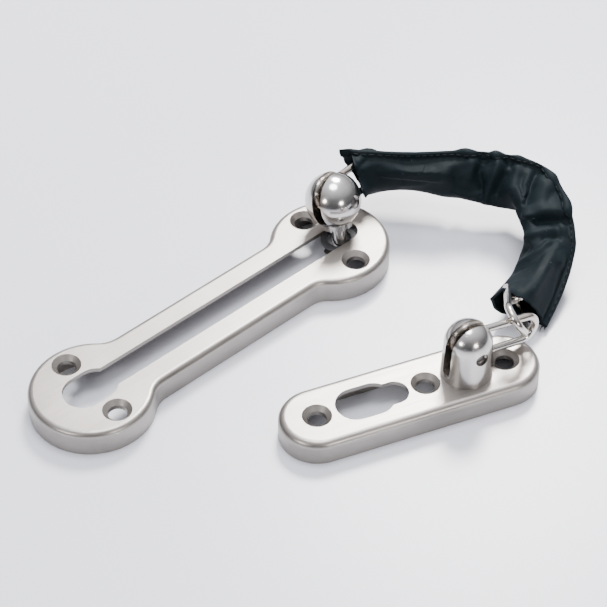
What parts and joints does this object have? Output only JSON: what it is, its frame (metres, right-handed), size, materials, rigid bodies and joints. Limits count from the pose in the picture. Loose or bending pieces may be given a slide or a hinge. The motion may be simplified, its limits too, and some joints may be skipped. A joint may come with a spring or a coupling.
{
  "type": "door chain guard",
  "caption": "Door chain guard with a slotted keyhole track plate, a sliding ball stud, a chain in a flat sleeve and an anchor plate with a swivelling post.",
  "frame": {"origin": "middle of the track plate, on the plane it is screwed to", "axes": "+X along the track's slot towards the end away from the keyhole, +Z out of the mounting surface, +Y to the side away from the anchor plate"},
  "size_m": [0.1585, 0.0926, 0.0251],
  "materials": {
    "plate_steel": "satin",
    "polished_steel": "polished",
    "post_steel": "lightly scratched polish",
    "pin_steel": "turned",
    "chain_steel": "polished nickel",
    "washer_nylon": "matte",
    "sleeve_leather": "grained, folded"
  },
  "bodies": {
    "track": {"track_plate": "plate_steel"},
    "slide": {"slide_washer": "washer_nylon"},
    "stud": {"ball_stud": "polished_steel", "ball_pin": "pin_steel", "stud_foot": "polished_steel"},
    "link_1": {"chain_link_1": "chain_steel", "sleeve_1": "sleeve_leather"},
    "link_2": {"chain_link_2": "chain_steel", "sleeve_2": "sleeve_leather"},
    "link_3": {"chain_link_3": "chain_steel", "sleeve_3": "sleeve_leather"},
    "link_4": {"chain_link_4": "chain_steel", "sleeve_4": "sleeve_leather"},
    "link_5": {"chain_link_5": "chain_steel", "sleeve_5": "sleeve_leather"},
    "link_6": {"chain_link_6": "chain_steel", "sleeve_6": "sleeve_leather"},
    "link_7": {"chain_link_7": "chain_steel"},
    "post": {"chain_post": "post_steel", "post_pin": "pin_steel", "post_washer": "polished_steel"},
    "anchor": {"anchor_plate": "plate_steel"}
  },
  "joints": [
    {"name": "stud_slide", "type": "slide", "parent": "track", "child": "slide", "axis": [-1, 0, 0], "range_m": [-0.003, 0.093]},
    {"name": "stud_swivel", "type": "hinge", "parent": "slide", "child": "stud", "pos_m": [0.046, -0.0002, 0.00685], "axis": [0, 0, 1], "range_deg": [-20, 180]},
    {"name": "ball_pin_hinge", "type": "hinge", "parent": "stud", "child": "link_1", "pos_m": [0.04743, 0.004, 0.0171], "axis": [-0.2391, 0.9098, -0.3393], "range_deg": [-110, 1]},
    {"name": "link_1_to_2", "type": "hinge", "parent": "link_1", "child": "link_2", "pos_m": [0.06695, 0.00904, 0.01485], "axis": [0, 0, 1], "range_deg": [-6, 12]},
    {"name": "link_2_to_3", "type": "hinge", "parent": "link_2", "child": "link_3", "pos_m": [0.08149, -0.00774, 0.01497], "axis": [0, 0, 1], "range_deg": [-12, 12]},
    {"name": "link_3_to_4", "type": "hinge", "parent": "link_3", "child": "link_4", "pos_m": [0.09456, -0.02604, 0.01348], "axis": [0, 0, 1], "range_deg": [-12, 12]},
    {"name": "link_4_to_5", "type": "hinge", "parent": "link_4", "child": "link_5", "pos_m": [0.08517, -0.04543, 0.00698], "axis": [0, 0, 1], "range_deg": [-11, 12]},
    {"name": "link_5_to_6", "type": "hinge", "parent": "link_5", "child": "link_6", "pos_m": [0.06341, -0.05133, 0.00788], "axis": [0, 0, 1], "range_deg": [-12, 12]},
    {"name": "link_6_to_7", "type": "hinge", "parent": "link_6", "child": "link_7", "pos_m": [0.05079, -0.06433, 0.01812], "axis": [0, 0, 1], "range_deg": [-30, 2]},
    {"name": "post_pin_hinge", "type": "hinge", "parent": "link_7", "child": "post", "pos_m": [0.03545, -0.06166, 0.01695], "axis": [0.1719, 0.9851, 0], "range_deg": [-3, 80]},
    {"name": "post_swivel", "type": "hinge", "parent": "post", "child": "anchor", "pos_m": [0.03545, -0.06166, 0.0065], "axis": [0, 0, 1], "range_deg": [-50, 170]}
  ]
}
